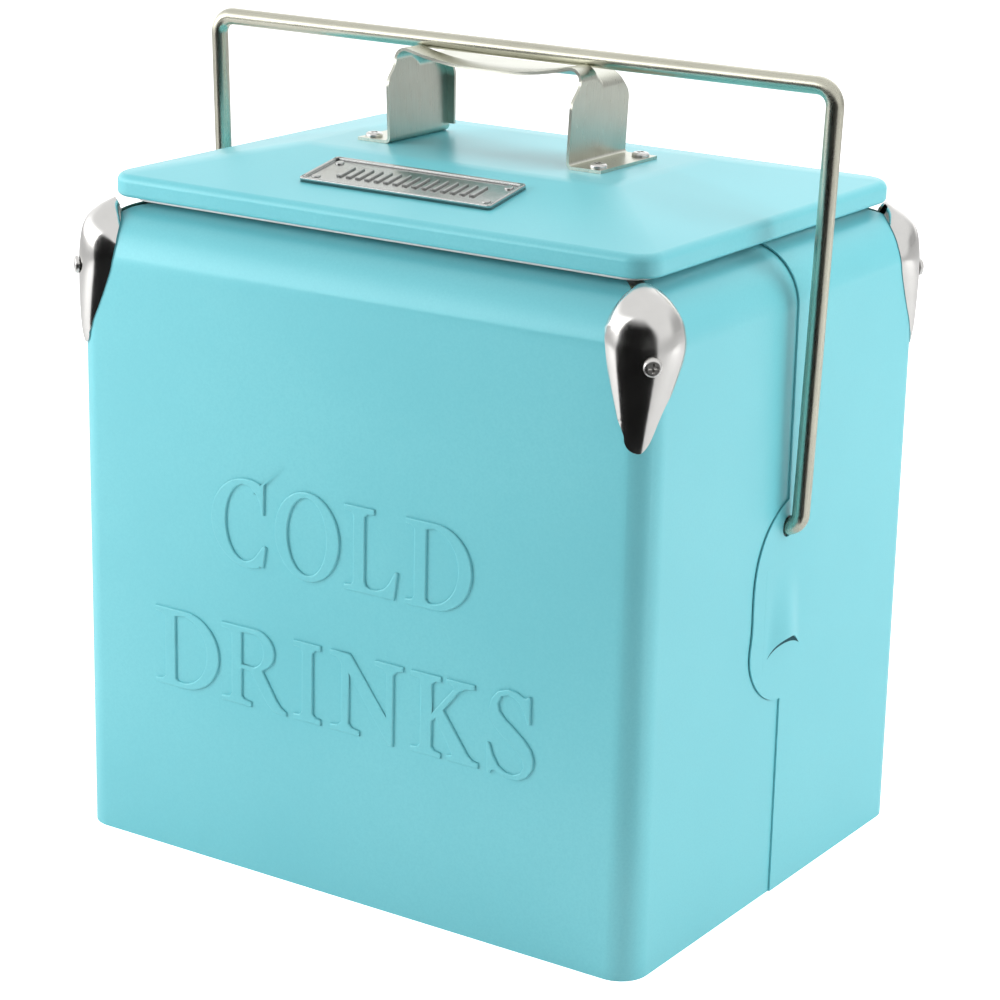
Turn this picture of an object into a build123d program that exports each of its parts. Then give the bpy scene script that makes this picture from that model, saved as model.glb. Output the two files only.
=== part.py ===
from build123d import *
import math
import os

os.makedirs("parts", exist_ok=True)

# Painted steel picnic cooler, standing on its base. All sizes in mm.
# X is the long side, the embossed face looks to -Y, Z is up, and the origin
# is the middle of the underside.

# chest
HALF_W = 165.0          # half the outside width
HALF_D = 131.0          # half the outside depth
SHELL_TOP = 323.0       # top of the rear shell's rolled shoulder
SHEET = 0.8             # painted sheet steel
LAP_STEP = 0.9          # how far the front shell's sides sit inside the rear shell's
LAP = 12.0              # width of the hidden lap behind the seam
CORNER_R = 14.6         # upright corners
SHOULDER_R = 28.0       # rolled top shoulder
PAN_FLANGE = 16.0       # height of the base pan's upturned edge
PAN_GAP = 0.2           # base pan to front shell

# tub
MOUTH_X = 134.0         # half the tub's opening
MOUTH_Y = 100.0
TUB_WALL = 2.5
TUB_FLOOR = 34.5        # height of the tub's inside floor
TUB_R = 14.0            # inside upright corners of the tub
RIM_X = 144.5           # half the rim flange
RIM_Y = 110.5
RIM_R = 10.0
RIM_BOTTOM = 323.1
RIM_TOP = 326.3

# foam
FOAM_INSET = 3.0        # foam's outer face from the chest's outer face
FOAM_BOTTOM = 1.2
FOAM_TOP = 319.0
FOAM_JOIN = 0.2         # gap between slabs

# bail and its pivots
PIVOT_Z = 188.5
ROD_R = 4.2
LEG_X_LOW = 171.1       # rod centre beside the pivot
LEG_X_TOP = 178.0       # rod centre at the crossbar
BAIL_TOP = 398.3        # rod centre of the crossbar
BEND_LOW = 7.5          # centreline bend radii
BEND_TOP = 9.0
ROD_END_X = 153.0
BORE_R = 4.25           # pivot plate's bore, 0.05 running clearance
SHELL_HOLE_R = 5.2
PLATE_T = 3.0
PLATE_Y = 40.0
PLATE_Z = 37.0
POCKET = 0.8            # foam pockets are this much larger all round

# tab of the rear shell, round the bail's hole
TAB_POINTS = [          # depth, height
    (0, 201.8), (-10.6, 196.8), (-20.2, 188.7), (-26.5, 178.4), (-29.6, 166.1), (-30.0, 153.0), (-30.2, 141.0),
    (-31.4, 133.4), (-30.8, 125.2), (-26.3, 116.3), (-19.0, 108.7), (-9.5, 103.4), (0, 101.6),
]
CREASE_W = 0.7          # width and depth of the crease ahead of the tab
CREASE_D = 0.45

# opener hood, on the right-hand side
HOOD_Y = 0.8            # middle of the hood
HOOD_STATIONS = [       # height, half width, stand-out from the wall
    (165.0, 3.0, 0.3),
    (157.0, 7.5, 1.2),
    (147.0, 11.8, 2.8),
    (137.0, 14.6, 4.2),
    (124.0, 16.0, 5.0),
]
LIP_ARCH_R = 20.7       # the lip is cut to an arch
LIP_ARCH_Z = 112.3

# lid
LID_X = 153.3
LID_Y = 118.4
LID_R = 13.4
SKIRT_BOTTOM = 325.4
SKIRT_TOP = 336.0
SKIRT_EDGE_R = 3.4      # soft edge between skirt and slopes
CURL_R = 2.6            # the skirt's lower edge is curled inward
FLAT_X = 89.0           # half the flat top
FLAT_Y = 47.0
FLAT_R = 3.0
LID_TOP = 349.3
LINER_FLANGE_BOTTOM = 328.3
LINER_FLANGE_T = 2.0
PLUG_X = 131.0
PLUG_Y = 97.0
PLUG_R = 12.0
PLUG_BOTTOM = 316.0
PLUG_WALL = 2.2
GASKET_BOTTOM = 326.7
GASKET_W = 5.0
LID_FIT = 0.1           # lid liner inside the skirt

# lid handle
STRAP_T = 1.5
STRAP_GAP = 0.05        # feet above the lid
STRAP_HALF = 25.6       # half width of feet and legs
STRAP_NECK = 18.5       # half width of the top strip
NECK_LOW = 377.0        # the legs narrow between these heights
NECK_HIGH = 391.0
FOOT_END_X = 70.5
FOOT_BEND_R = 2.4       # bend radii on the strap's middle layer
SHOULDER_BEND_R = 5.65
LEG_FOOT_X = 52.4       # leg's outer face at the foot and at the shoulder
LEG_TOP_X = 54.4
STRIP_FLAT_X = 3.0      # the top strip's flat middle
STOP_TOP = 396.0        # front half of each shoulder, the bail stops behind it
REST_TOP = 391.0        # rear half, low enough for the bail to pass over
STOP_Y = -5.2           # the strap steps down between these two
REST_Y = 1.5
STRIP_MIDDLE = 390.4    # top of the strip at its middle
FLANGE_IN = 5.0         # rear edges of the legs are turned in by this
SCREW_X = 65.0
SCREW_Y = 19.3

# name plate on the lid's front slope
NAME_W = 109.0
NAME_H = 31.0
NAME_T = 1.2
NAME_RIM_T = 2.4
NAME_RIM_W = 3.0
NAME_Y = -79.0
NAME_RIVET_X = 48.5
NAME_RIVET_Y = 9.5
NAME_GAP = 0.05

# corner guards, worked out on the upright plane through the corner's diagonal
GUARD_T = 1.2
GUARD_GAP = 0.4
GUARD_SKIRT = 7.0       # how far the pressing is carried into the chest before trimming
GUARD_STEPS = 3         # sections worked out per station
GUARD_SCREW_Z = 291.5
GUARD_NOSE = -3.4       # outer face at the screw, measured out from the square corner
GUARD_STATIONS = [      # out, height, lean, half width, depth at that width
    (-6.9, 249.0, 0.0, 5.6, 1.8),
    (-5.3, 254.0, 0.0, 6.8, 2.5),
    (-4.3, 259.0, 0.0, 8.3, 4.4),
    (-3.7, 266.0, 0.0, 10.2, 6.6),
    (-3.4, 275.0, 0.0, 13.0, 9.6),
    (-3.3, 284.5, 0.0, 15.8, 12.5),
    (-3.4, 293.0, 1.0, 18.0, 14.6),
    (-3.8, 300.5, 6.0, 18.8, 15.6),
    (-5.2, 309.4, 20.0, 18.2, 15.8),
    (-8.1, 315.6, 37.0, 16.4, 14.6),
    (-13.8, 320.6, 52.0, 12.8, 11.6),
    (-18.4, 323.2, 59.0, 8.2, 7.6),
    (-21.4, 324.6, 62.0, 3.6, 3.4),
]
TIP_R = 6.9             # rounded lower tip
TIP_LOW = 251.9
TIP_TILT = 6.5          # the front right guard has turned a little on its screw, in degrees

# screws and nuts
SCREW_R = 2.0
SCREW_HOLE_R = 2.3
HEAD_R = 4.3
HEAD_H = 2.1
HEAD_SEAT = 0.2         # under the heads on the guards' slight crown
RECESS_W = 1.1          # one slot of the cross recess
RECESS_L = 4.6
RECESS_D = 1.2
NUT_W = 7.0
NUT_H = 3.0
NUT_GAP = 0.5           # guard nut behind the bent corner of the shell

FAR = 400.0             # longer than anything on the cooler


def rounded_block(half_x, half_y, low, high, corner_r, shoulder_r):
    """Box with round upright corners and rolled top edges."""
    upright = extrude(Plane.XY.offset(low) * RectangleRounded(2 * half_x, 2 * half_y, corner_r), high - low)
    middle = (low + high) / 2
    end_face = Plane.YZ * Pos(0, middle) * Rectangle(2 * half_y, high - low)
    end_face = fillet(end_face.vertices().group_by(Axis.Z)[-1], shoulder_r)
    front_face = Plane.XZ * Pos(0, middle) * Rectangle(2 * half_x, high - low)
    front_face = fillet(front_face.vertices().group_by(Axis.Z)[-1], shoulder_r)
    return upright & extrude(end_face, half_x, both=True) & extrude(front_face, half_y, both=True)


def plan_block(half_x, half_y, low, high, radius):
    """Upright prism on a rounded rectangle."""
    return extrude(Plane.XY.offset(low) * RectangleRounded(2 * half_x, 2 * half_y, radius), high - low)


def half_space(low_y, high_y):
    """Everything between two depths."""
    return Pos(0, (low_y + high_y) / 2, FAR / 2) * Box(2 * FAR, high_y - low_y, 3 * FAR)


def diagonal_plane(out, height, lean=0.0):
    """Plane across a guard's spine at the front right corner.

    Local x runs sideways, local y points out of the chest, and the normal
    runs up the spine, leaning inward by the given angle.
    """
    outward = Vector(math.sqrt(0.5), -math.sqrt(0.5), 0)
    a = math.radians(lean)
    normal = Vector(0, 0, 1) * math.cos(a) - outward * math.sin(a)
    local_y = outward * math.cos(a) + Vector(0, 0, 1) * math.sin(a)
    origin = Vector(HALF_W, -HALF_D, height) + outward * out
    return Plane(origin=origin, x_dir=local_y.cross(normal), z_dir=normal)


def save(shape, node):
    export_step(shape, f"parts/{node}.step")


def drill(shape, position, direction, radius, length):
    """Hole centred on a point."""
    tool = Plane(origin=position, z_dir=direction) * Cylinder(radius, length)
    return shape - tool


# ---------------------------------------------------------------- shells
mouth = plan_block(MOUTH_X + TUB_WALL + 1.0, MOUTH_Y + TUB_WALL + 1.0, SHELL_TOP - 10, SHELL_TOP + 10, TUB_R)

# the top corners of both sheets are notched before bending, under the guards
notch_outline = Polyline(
    (-8, 300), (-8, 311), (-4, 320), (-4, SHELL_TOP + 10),
    (4, SHELL_TOP + 10), (4, 320), (8, 311), (8, 300), close=True,
)
corner_view = Plane(origin=(HALF_W, -HALF_D, 0), x_dir=(1, 1, 0), z_dir=(1, -1, 0))
notch = extrude(corner_view * make_face(notch_outline), 48, both=True)
notch_pair = notch + mirror(notch, about=Plane.YZ)

front_half_w = HALF_W - LAP_STEP
front_top = SHELL_TOP - LAP_STEP
front_shell = rounded_block(front_half_w, HALF_D, 0, front_top, CORNER_R, SHOULDER_R)
front_shell -= rounded_block(
    front_half_w - SHEET, HALF_D - SHEET, -10, front_top - SHEET, CORNER_R - SHEET, SHOULDER_R - SHEET
)
front_shell &= half_space(-FAR, LAP)
front_shell -= mouth
front_shell -= notch_pair

rear_shell = rounded_block(HALF_W, HALF_D, 0, SHELL_TOP, CORNER_R, SHOULDER_R)
rear_shell -= rounded_block(
    HALF_W - SHEET, HALF_D - SHEET, -10, SHELL_TOP - SHEET, CORNER_R - SHEET, SHOULDER_R - SHEET
)
rear_shell &= half_space(0, FAR)
rear_shell -= mouth
rear_shell -= mirror(notch_pair, about=Plane.XZ)

# the rear shell's tab laps over the front shell round the bail's hole
tab_edge = Spline([Vector(y, z) for y, z in TAB_POINTS])
tab_close = Polyline((0, 101.6), (2, 101.6), (2, 201.8), (0, 201.8))
tab = extrude(Plane.YZ.offset(HALF_W - SHEET) * make_face(tab_edge + tab_close), SHEET)
rear_shell += tab
rear_shell += mirror(tab, about=Plane.YZ)

# the front shell is creased just ahead of the tab's edge
crease_line = Spline([Vector(y - CREASE_W, z) for y, z in TAB_POINTS])
crease_face = make_face(crease_line + Polyline((-CREASE_W, 101.6), (2, 101.6), (2, 201.8), (-CREASE_W, 201.8)))
crease_cut = extrude(Plane.YZ.offset(HALF_W - LAP_STEP - CREASE_D) * crease_face, 2 * CREASE_D)
front_shell -= crease_cut
front_shell -= mirror(crease_cut, about=Plane.YZ)


def hood(inset):
    """Pressed-out hood of the opener, as a solid; inset thins it."""
    root = HALF_W - inset
    back = HALF_W - (3 * SHEET if inset else 0.3)
    sections = []
    for height, half, out in HOOD_STATIONS:
        side = half - inset
        shoulder = root + out * 0.62
        arc = Spline((root, -side), (shoulder, -side / 2), (root + out, 0), (shoulder, side / 2), (root, side))
        lines = Polyline((root, side), (back, side), (back, -side), (root, -side))
        sections.append(Pos(0, HOOD_Y, height) * make_face(arc + lines))
    return loft(sections)


lip_arch = Plane(origin=(HALF_W, HOOD_Y, LIP_ARCH_Z), z_dir=(1, 0, 0)) * Cylinder(LIP_ARCH_R, 60)
hood_outer = hood(0) - lip_arch
hood_inner = hood(SHEET) - lip_arch
rear_shell += hood_outer
rear_shell -= hood_inner
front_shell -= hood_inner

for side in (1, -1):
    rear_shell = drill(rear_shell, (side * HALF_W, 0, PIVOT_Z), (1, 0, 0), SHELL_HOLE_R, 10)
    front_shell = drill(front_shell, (side * HALF_W, 0, PIVOT_Z), (1, 0, 0), SHELL_HOLE_R + 0.6, 10)

# ---------------------------------------------------------------- corner guards


def guard_section(plane, half, depth, inset, skirt):
    """Arc over the guard's spine, with straight sides running into the chest."""
    radius = (half * half + depth * depth) / (2 * depth)
    inner_r = radius - inset
    drop = radius - depth
    inner_half = math.sqrt(inner_r * inner_r - drop * drop)
    arc = ThreePointArc((-inner_half, -depth), (0, -inset), (inner_half, -depth))
    sides = Polyline(
        (inner_half, -depth), (inner_half, -depth - skirt), (-inner_half, -depth - skirt), (-inner_half, -depth)
    )
    return plane * make_face(arc + sides)


def between(stations, steps):
    """Stations with evenly eased ones filled in between (Catmull-Rom)."""
    filled = []
    for i in range(len(stations) - 1):
        here, ahead = stations[i], stations[i + 1]
        before = stations[i - 1] if i else [2 * p - q for p, q in zip(here, ahead)]
        after = stations[i + 2] if i + 2 < len(stations) else [2 * q - p for p, q in zip(here, ahead)]
        for k in range(steps):
            t = k / steps
            row = []
            for m0, m1, m2, m3 in zip(before, here, ahead, after):
                bend = (2 * m0 - 5 * m1 + 4 * m2 - m3) * t + (3 * m1 - m0 - 3 * m2 + m3) * t * t
                row.append(m1 + 0.5 * t * (m2 - m0 + bend))
            filled.append(tuple(row))
    filled.append(stations[-1])
    return filled


def guard_body(inset, overrun):
    """Guard as a solid; overrun carries both ends past the trimmed length."""
    sections = []
    stations = between(GUARD_STATIONS, GUARD_STEPS)
    last = len(stations) - 1
    for i, (out, height, lean, half, depth) in enumerate(stations):
        plane = diagonal_plane(out, height, lean)
        if i == 0:
            plane = plane.offset(-overrun)
        if i == last:
            plane = plane.offset(overrun)
        sections.append(guard_section(plane, half, depth, inset, GUARD_SKIRT))
    return loft(sections, ruled=True)


envelope = rounded_block(
    HALF_W + GUARD_GAP, HALF_D + GUARD_GAP, 0, SHELL_TOP + GUARD_GAP, CORNER_R + GUARD_GAP, SHOULDER_R + GUARD_GAP
)
tip_arc = ThreePointArc((-TIP_R, TIP_LOW + TIP_R), (0, TIP_LOW), (TIP_R, TIP_LOW + TIP_R))
tip_sides = Polyline(
    (TIP_R, TIP_LOW + TIP_R), (26, 300), (26, 345), (-26, 345), (-26, 300), (-TIP_R, TIP_LOW + TIP_R)
)
guard_outline = extrude(corner_view * make_face(tip_arc + tip_sides), 60, both=True)

outward = Vector(math.sqrt(0.5), -math.sqrt(0.5), 0)
square_corner = Vector(HALF_W, -HALF_D, GUARD_SCREW_Z)
screw_axis = Axis(square_corner, outward)


def make_guard(tilt):
    """Pressed guard at the front right corner, turned on its screw and trimmed to the body."""
    blank = (guard_body(0, 0) - guard_body(GUARD_T, 2.0)) & guard_outline
    blank = blank.rotate(screw_axis, -tilt) - envelope
    blank = max(blank.solids(), key=lambda s: s.volume)
    return drill(blank, square_corner + outward * GUARD_NOSE, outward, SCREW_HOLE_R, 8)


guard = make_guard(0)
turned_guard = make_guard(TIP_TILT)


def head_with_recess():
    """Pan head on its own axis, underside at zero, with a cross recess."""
    head = Cylinder(HEAD_R, HEAD_H, align=(Align.CENTER, Align.CENTER, Align.MIN))
    head = fillet(head.edges().group_by(Axis.Z)[-1], HEAD_H * 0.7)
    slot_z = HEAD_H - RECESS_D / 2
    head -= Pos(0, 0, slot_z) * Box(RECESS_L, RECESS_W, RECESS_D)
    head -= Pos(0, 0, slot_z) * Box(RECESS_W, RECESS_L, RECESS_D)
    return head


def screw(length):
    """Machine screw, head up, shank going down."""
    shank = Cylinder(SCREW_R, length, align=(Align.CENTER, Align.CENTER, Align.MAX))
    return head_with_recess() + shank


def nut():
    """Square nut hanging below its own origin."""
    blank = Box(NUT_W, NUT_W, NUT_H, align=(Align.CENTER, Align.CENTER, Align.MAX))
    return blank - Cylinder(SCREW_R, 3 * NUT_H)


guard_screw = Plane(origin=square_corner + outward * (GUARD_NOSE + HEAD_SEAT), z_dir=outward) * screw(14)
shell_inner_nose = -CORNER_R * (math.sqrt(2) - 1) - SHEET - LAP_STEP - NUT_GAP
guard_nut = Plane(origin=square_corner + outward * shell_inner_nose, z_dir=outward) * nut()

for side in (1, -1):
    for edge in (1, -1):
        hole_at = Vector(side * HALF_W, edge * HALF_D, GUARD_SCREW_Z)
        way = Vector(side * math.sqrt(0.5), edge * math.sqrt(0.5), 0)
        if edge < 0:
            front_shell = drill(front_shell, hole_at, way, SCREW_HOLE_R, 30)
        else:
            rear_shell = drill(rear_shell, hole_at, way, SCREW_HOLE_R, 30)


def at_corners(shape):
    """The front right piece and its three mirror images, by corner."""
    left = mirror(shape, about=Plane.YZ)
    return {
        "front_right": shape,
        "front_left": left,
        "rear_right": mirror(shape, about=Plane.XZ),
        "rear_left": mirror(left, about=Plane.XZ),
    }


for corner, shape in at_corners(guard).items():
    save(turned_guard if corner == "front_right" else shape, f"corner_guard_{corner}")
save(Compound(children=list(at_corners(guard_screw).values())), "guard_screws")
save(Compound(children=list(at_corners(guard_nut).values())), "guard_nuts")
save(front_shell, "front_shell")
save(rear_shell, "rear_shell")

# ---------------------------------------------------------------- base pan
pan_x = front_half_w - SHEET - PAN_GAP
pan_y = HALF_D - SHEET - PAN_GAP
pan_r = CORNER_R - SHEET - PAN_GAP
base_pan = plan_block(pan_x, pan_y, 0, PAN_FLANGE, pan_r)
base_pan -= plan_block(pan_x - SHEET, pan_y - SHEET, SHEET, PAN_FLANGE + 1, pan_r - SHEET)
save(base_pan, "base_pan")

# ---------------------------------------------------------------- liner tub
tub_outside = plan_block(MOUTH_X + TUB_WALL, MOUTH_Y + TUB_WALL, TUB_FLOOR - TUB_WALL, RIM_BOTTOM, TUB_R + TUB_WALL)
tub_outside = fillet(tub_outside.edges().group_by(Axis.Z)[0], 10)
rim = plan_block(RIM_X, RIM_Y, RIM_BOTTOM, RIM_TOP, RIM_R)
cavity = plan_block(MOUTH_X, MOUTH_Y, TUB_FLOOR, RIM_TOP + 1, TUB_R)
cavity = fillet(cavity.edges().group_by(Axis.Z)[0], 8)
liner_tub = tub_outside + rim - cavity
liner_tub = fillet(liner_tub.faces().sort_by(Axis.Z)[-1].edges(), 1.0)
save(liner_tub, "liner_tub")

# ---------------------------------------------------------------- pivot plates
plate_outer_x = front_half_w - SHEET - 0.1
plate_x = plate_outer_x - PLATE_T / 2
pivot_plate = Pos(plate_x, 0, PIVOT_Z) * Box(PLATE_T, PLATE_Y, PLATE_Z)
pivot_plate = fillet(pivot_plate.edges().filter_by(Axis.X), 5)
pivot_plate = drill(pivot_plate, (plate_x, 0, PIVOT_Z), (1, 0, 0), BORE_R, 2 * PLATE_T)
save(pivot_plate, "pivot_plate_right")
save(mirror(pivot_plate, about=Plane.YZ), "pivot_plate_left")

# ---------------------------------------------------------------- foam slabs
foam = rounded_block(
    HALF_W - FOAM_INSET, HALF_D - FOAM_INSET, FOAM_BOTTOM, FOAM_TOP, CORNER_R - FOAM_INSET, SHOULDER_R - FOAM_INSET
)
tub_space_x = MOUTH_X + TUB_WALL + FOAM_JOIN
tub_space_y = MOUTH_Y + TUB_WALL + FOAM_JOIN
slab_low = TUB_FLOOR - TUB_WALL - FOAM_JOIN
foam -= Pos(0, 0, slab_low) * Box(
    2 * tub_space_x, 2 * tub_space_y, FAR, align=(Align.CENTER, Align.CENTER, Align.MIN)
)
plate_pocket = Pos(plate_x, 0, PIVOT_Z) * Box(PLATE_T + 2 * POCKET, PLATE_Y + 2 * POCKET, PLATE_Z + 2 * POCKET)
rod_pocket = Plane(origin=(HALF_W, 0, PIVOT_Z), z_dir=(1, 0, 0)) * Cylinder(ROD_R + 1.5, 2 * (HALF_W - ROD_END_X + 2))
for shape in (plate_pocket, rod_pocket):
    foam -= shape
    foam -= mirror(shape, about=Plane.YZ)
nut_pocket = Plane(origin=square_corner, z_dir=outward) * Cylinder(NUT_W * 0.5 * math.sqrt(2) + POCKET, 40)
for shape in at_corners(nut_pocket).values():
    foam -= shape
pan_lip = plan_block(HALF_W, HALF_D, 0, PAN_FLANGE + FOAM_JOIN, CORNER_R)
pan_lip -= plan_block(pan_x - SHEET - FOAM_JOIN, pan_y - SHEET - FOAM_JOIN, -1, PAN_FLANGE + 1, pan_r)
foam -= pan_lip

wall_high = FOAM_TOP - slab_low - FOAM_JOIN
wall_z = slab_low + FOAM_JOIN
side_w = HALF_W - tub_space_x
base_align = (Align.CENTER, Align.CENTER, Align.MIN)
slabs = {
    "foam_floor": Pos(0, 0, 0) * Box(2 * HALF_W, 2 * HALF_D, slab_low, align=base_align),
    "foam_right": Pos(tub_space_x + side_w / 2, 0, wall_z) * Box(side_w, 2 * HALF_D, wall_high, align=base_align),
    "foam_left": Pos(-tub_space_x - side_w / 2, 0, wall_z) * Box(side_w, 2 * HALF_D, wall_high, align=base_align),
    "foam_front": Pos(0, -HALF_D / 2 - tub_space_y / 2, wall_z)
    * Box(2 * tub_space_x - 2 * FOAM_JOIN, HALF_D - tub_space_y, wall_high, align=base_align),
    "foam_rear": Pos(0, HALF_D / 2 + tub_space_y / 2, wall_z)
    * Box(2 * tub_space_x - 2 * FOAM_JOIN, HALF_D - tub_space_y, wall_high, align=base_align),
}
for node, box in slabs.items():
    save(foam & box, node)


# ---------------------------------------------------------------- lid shell
def hipped_block(inset, bottom):
    """Skirt with four slopes up to a flat top."""
    drop = inset
    skirt = plan_block(LID_X - inset, LID_Y - inset, bottom, SKIRT_TOP - drop, LID_R - inset)
    low = Plane.XY.offset(SKIRT_TOP - drop) * RectangleRounded(2 * (LID_X - inset), 2 * (LID_Y - inset), LID_R - inset)
    high = Plane.XY.offset(LID_TOP - drop) * RectangleRounded(2 * FLAT_X, 2 * FLAT_Y, FLAT_R)
    return skirt + loft([low, high], ruled=True)


lid_outer = hipped_block(0, SKIRT_BOTTOM)
crease = [e for e in lid_outer.edges() if abs(e.center().Z - SKIRT_TOP) < 0.01]
lid_outer = fillet(crease, SKIRT_EDGE_R)
lid_outer = fillet(lid_outer.edges().group_by(Axis.Z)[0], CURL_R)
lid_hollow = hipped_block(SHEET, SKIRT_BOTTOM + SHEET)
lid_hollow = fillet(lid_hollow.edges().group_by(Axis.Z)[0], CURL_R - SHEET)
curl_in = CURL_R + SHEET
lid_hollow += plan_block(
    LID_X - curl_in, LID_Y - curl_in, SKIRT_BOTTOM - 1, SKIRT_BOTTOM + CURL_R, LID_R - curl_in
)
lid_shell = lid_outer - lid_hollow
for side in (1, -1):
    for edge in (1, -1):
        lid_shell = drill(lid_shell, (side * SCREW_X, edge * SCREW_Y, LID_TOP), (0, 0, 1), SCREW_HOLE_R, 10)

# ---------------------------------------------------------------- lid liner, foam, gasket
flange_x = LID_X - SHEET - LID_FIT
flange_y = LID_Y - SHEET - LID_FIT
flange_top = LINER_FLANGE_BOTTOM + LINER_FLANGE_T
lid_liner = plan_block(flange_x, flange_y, LINER_FLANGE_BOTTOM, flange_top, LID_R - SHEET - LID_FIT)
plug = plan_block(PLUG_X, PLUG_Y, PLUG_BOTTOM, flange_top, PLUG_R)
plug = fillet(plug.edges().group_by(Axis.Z)[0], 4)
lid_liner += plug
lid_liner -= plan_block(
    PLUG_X - PLUG_WALL, PLUG_Y - PLUG_WALL, PLUG_BOTTOM + PLUG_WALL, flange_top + 1, PLUG_R - PLUG_WALL
)
save(lid_liner, "lid_liner")

foam_gap = 0.3
lid_foam = plan_block(
    PLUG_X - PLUG_WALL - foam_gap, PLUG_Y - PLUG_WALL - foam_gap,
    PLUG_BOTTOM + PLUG_WALL + foam_gap, flange_top + foam_gap + 1, PLUG_R - PLUG_WALL - foam_gap,
)
lid_foam += hipped_block(SHEET + 1.0, flange_top + foam_gap)
for side in (1, -1):
    for edge in (1, -1):
        lid_foam -= Pos(side * SCREW_X, edge * SCREW_Y, LID_TOP) * Box(
            NUT_W + 2, NUT_W + 2, 24, align=(Align.CENTER, Align.CENTER, Align.CENTER)
        )
    lid_foam -= Pos(0, NAME_Y, SKIRT_TOP + 6) * Pos(side * NAME_RIVET_X, 0, 0) * Box(6, 26, 12)
save(lid_foam, "lid_foam")

gasket_mid_x = (RIM_X + MOUTH_X) / 2 + 1
gasket_mid_y = (RIM_Y + MOUTH_Y) / 2 + 1
lid_gasket = plan_block(
    gasket_mid_x + GASKET_W / 2, gasket_mid_y + GASKET_W / 2, GASKET_BOTTOM, LINER_FLANGE_BOTTOM, RIM_R
)
lid_gasket -= plan_block(
    gasket_mid_x - GASKET_W / 2, gasket_mid_y - GASKET_W / 2, GASKET_BOTTOM - 1, LINER_FLANGE_BOTTOM + 1,
    RIM_R - GASKET_W,
)
save(lid_gasket, "lid_gasket")


# ---------------------------------------------------------------- lid handle
def polar(centre, radius, angle):
    """Point on a circle, the angle counted from +X towards +Z."""
    return (centre[0] + radius * math.cos(angle), centre[1] + radius * math.sin(angle))


def bend(centre, radius, start, end):
    """Arc round a centre between two angles."""
    middle = (start + end) / 2
    return ThreePointArc(polar(centre, radius, start), polar(centre, radius, middle), polar(centre, radius, end))


def strap_face(shoulder, off):
    """Right half of one face of the strap; off is its distance outward from the middle layer."""
    lean = math.atan2(LEG_TOP_X - LEG_FOOT_X, STOP_TOP - LID_TOP)
    foot_z = LID_TOP + STRAP_GAP + STRAP_T / 2

    # foot bend, turning up into the leg
    foot_centre_z = foot_z + FOOT_BEND_R
    leg_x = LEG_FOOT_X - STRAP_T / 2 + (foot_centre_z - LID_TOP) * math.tan(lean)
    foot_centre = (leg_x + FOOT_BEND_R / math.cos(lean), foot_centre_z)
    foot_bend = bend(foot_centre, FOOT_BEND_R - off, -math.pi / 2, -math.pi - lean)

    # shoulder bend, turning in to the top strip
    middle_top = shoulder - STRAP_T / 2
    shoulder_z = middle_top - SHOULDER_BEND_R
    leg_x = LEG_FOOT_X - STRAP_T / 2 + (shoulder_z - LID_TOP) * math.tan(lean)
    shoulder_centre = (leg_x - SHOULDER_BEND_R / math.cos(lean), shoulder_z)
    run = shoulder_centre[0] - STRIP_FLAT_X
    turn = 2 * math.atan2(shoulder - STRIP_MIDDLE, run)
    shoulder_bend = bend(shoulder_centre, SHOULDER_BEND_R + off, -lean, math.pi / 2 + turn)

    # the strip sags to its middle in one shallow arc
    radius = run / math.sin(turn) - SHOULDER_BEND_R
    dip_centre = (STRIP_FLAT_X, STRIP_MIDDLE - STRAP_T / 2 + radius)
    dip = bend(dip_centre, radius - off, turn - math.pi / 2, -math.pi / 2)

    foot = Line((FOOT_END_X, foot_z + off), foot_bend @ 0)
    leg = Line(foot_bend @ 1, shoulder_bend @ 0)
    strip = Line(dip @ 1, (0, STRIP_MIDDLE - STRAP_T / 2 + off))
    return [foot, foot_bend, leg, shoulder_bend, dip, strip]


def strap_profile(shoulder):
    """Closed outline of the strap seen from the front, in X and Z."""
    outer = strap_face(shoulder, STRAP_T / 2)
    inner = strap_face(shoulder, -STRAP_T / 2)
    edges = outer + inner + [Line(outer[0] @ 0, inner[0] @ 0), Line(outer[-1] @ 1, inner[-1] @ 1)]
    half = make_face(edges)
    return half + mirror(half, about=Plane.YZ)


stop_profile = Plane.XZ * strap_profile(STOP_TOP)
rest_profile = Plane.XZ * strap_profile(REST_TOP)
front_strap = Pos(0, STOP_Y, 0) * extrude(stop_profile, STRAP_HALF + STOP_Y)
rear_strap = Pos(0, STRAP_HALF, 0) * extrude(rest_profile, STRAP_HALF - REST_Y)
step = loft([Pos(0, STOP_Y, 0) * stop_profile, Pos(0, REST_Y, 0) * rest_profile], ruled=True)
lid_handle = front_strap + step + rear_strap


def leg_outline(trim):
    """Legs and top strip seen from the side, narrowing above the hand's room."""
    wide = STRAP_HALF - trim
    neck = STRAP_NECK - trim
    right = Spline((wide, NECK_LOW), (neck, NECK_HIGH), tangents=[(0, 1), (0, 1)])
    left = Spline((-neck, NECK_HIGH), (-wide, NECK_LOW), tangents=[(0, -1), (0, -1)])
    top = Polyline((neck, NECK_HIGH), (neck, BAIL_TOP), (-neck, BAIL_TOP), (-neck, NECK_HIGH))
    base = Polyline((-wide, NECK_LOW), (-wide, LID_TOP - 1), (wide, LID_TOP - 1), (wide, NECK_LOW))
    return extrude(Plane.YZ * make_face(right + top + left + base), 2 * LID_X, both=True)


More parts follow.
